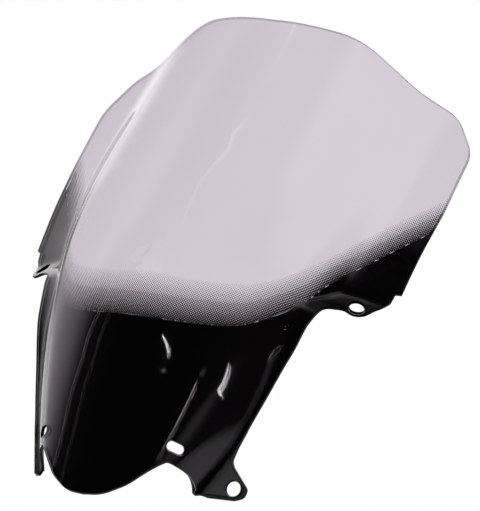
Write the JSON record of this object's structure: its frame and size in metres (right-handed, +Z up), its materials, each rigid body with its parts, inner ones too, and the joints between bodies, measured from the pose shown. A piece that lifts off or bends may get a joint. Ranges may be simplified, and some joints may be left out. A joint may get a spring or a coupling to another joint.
{
  "type": "windshield screen",
  "caption": "Tinted motorcycle windshield screen with a bubble nose, side tabs, lower ears, nose slots, a solid black lower print and a dotted fade band.",
  "frame": {"origin": "bottom centre of the bounding box: on the centre plane, level with the lowest edge of the ears", "axes": "X across with the two halves mirrored about X=0, -Y is the riding direction that the outer face looks towards, +Z up"},
  "size_m": [0.4048, 0.3475, 0.4003],
  "materials": {
    "tinted_acrylic": "gloss",
    "black_print": "gloss",
    "dotted_print": "gloss"
  },
  "bodies": {
    "root": {"screen_sheet": "tinted_acrylic", "black_mask": "black_print", "fade_band": "dotted_print"}
  },
  "joints": []
}
